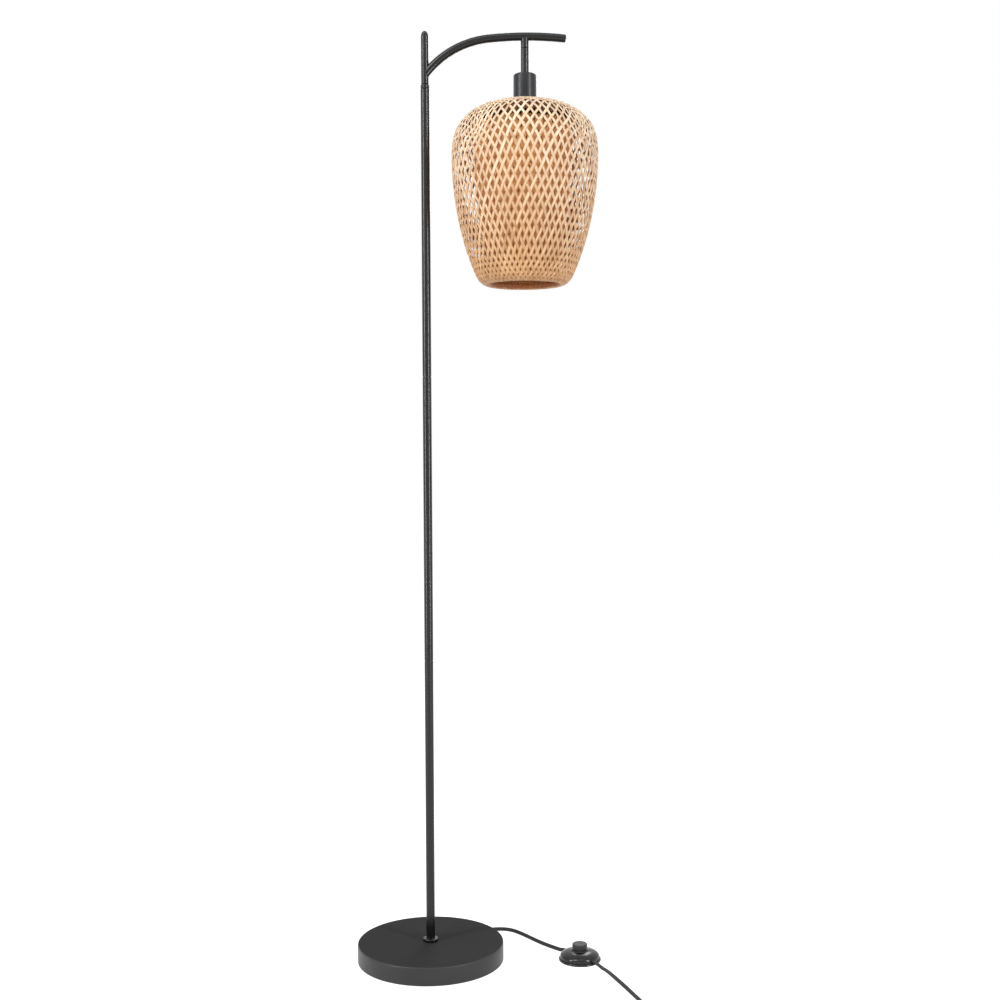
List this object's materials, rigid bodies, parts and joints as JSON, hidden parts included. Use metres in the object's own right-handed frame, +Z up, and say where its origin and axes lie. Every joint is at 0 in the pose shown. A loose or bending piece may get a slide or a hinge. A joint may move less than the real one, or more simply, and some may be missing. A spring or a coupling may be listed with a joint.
{
  "type": "floor lamp",
  "caption": "Black metal floor lamp with a curved arm, a hanging woven bamboo shade, a weighted round base and a flat cord with a foot switch.",
  "frame": {"origin": "on the floor, at the middle of the base's underside, below the pole", "axes": "+Z up along the pole, +X towards the end of the arm and the shade, +Y away from the side that the picture was taken from"},
  "size_m": [0.4814, 0.4895, 1.606],
  "materials": {
    "black_paint": "satin",
    "cup_paint": "satin",
    "base_cement": "matte",
    "pad_foam": "matte",
    "zinc_steel": "satin",
    "brass": "satin",
    "black_moulding": "matte",
    "gloss_moulding": "glossy",
    "cord_jacket": "matte",
    "bamboo": "satin",
    "bamboo_inner": "matte",
    "white_ceramic": "matte",
    "bulb_glass": "glossy"
  },
  "bodies": {
    "lamp": {"base_cover": "black_paint", "base_weight": "base_cement", "base_pad": "pad_foam", "base_washer": "zinc_steel", "base_nut": "zinc_steel", "base_nipple": "zinc_steel", "base_collar": "black_paint", "strain_relief": "black_moulding", "pole_lower": "black_paint", "pole_middle": "black_paint", "pole_upper": "black_paint", "pole_foot_bush": "zinc_steel", "pole_coupling_lower": "zinc_steel", "pole_coupling_upper": "zinc_steel", "pole_ferrule": "black_paint", "stem_tube": "black_paint", "finial": "black_paint", "arm_tube": "black_paint", "arm_end_cap": "black_paint", "arm_stub": "black_paint", "stub_nipple": "zinc_steel", "drop_rod": "black_paint", "cup_nipple": "zinc_steel", "socket_cup": "cup_paint", "cup_locknut": "zinc_steel", "socket_cap": "black_moulding", "socket_body": "black_moulding", "contact_block": "white_ceramic", "screw_shell": "brass", "centre_contact": "brass", "socket_ring": "black_moulding", "shade_fitter": "zinc_steel", "shade_crown": "bamboo", "shade_shoulder": "bamboo", "shade_belly": "bamboo", "shade_rim": "bamboo", "shade_liner": "bamboo_inner", "bulb_cap": "brass", "bulb_glass": "bulb_glass", "bulb_mount": "bulb_glass", "supply_lead": "cord_jacket", "cord_base_to_switch": "cord_jacket", "cord_switch_to_coil": "cord_jacket", "cord_coil": "cord_jacket", "cord_tie": "black_moulding", "plug_body": "black_moulding", "plug_blade_narrow": "brass", "plug_blade_wide": "brass", "switch_base": "gloss_moulding", "switch_cover": "gloss_moulding", "switch_spring": "zinc_steel", "switch_screw_left": "zinc_steel", "switch_screw_right": "zinc_steel", "switch_contact_in": "brass", "switch_contact_out": "brass"},
    "button": {"switch_button": "gloss_moulding"}
  },
  "joints": [
    {"name": "button_press", "type": "slide", "parent": "lamp", "child": "button", "axis": [0, 0, -1], "range_m": [0, 0.003], "stiffness_N_per_m": 900, "springref_m": -0.005, "deforming": ["switch_spring"]}
  ]
}
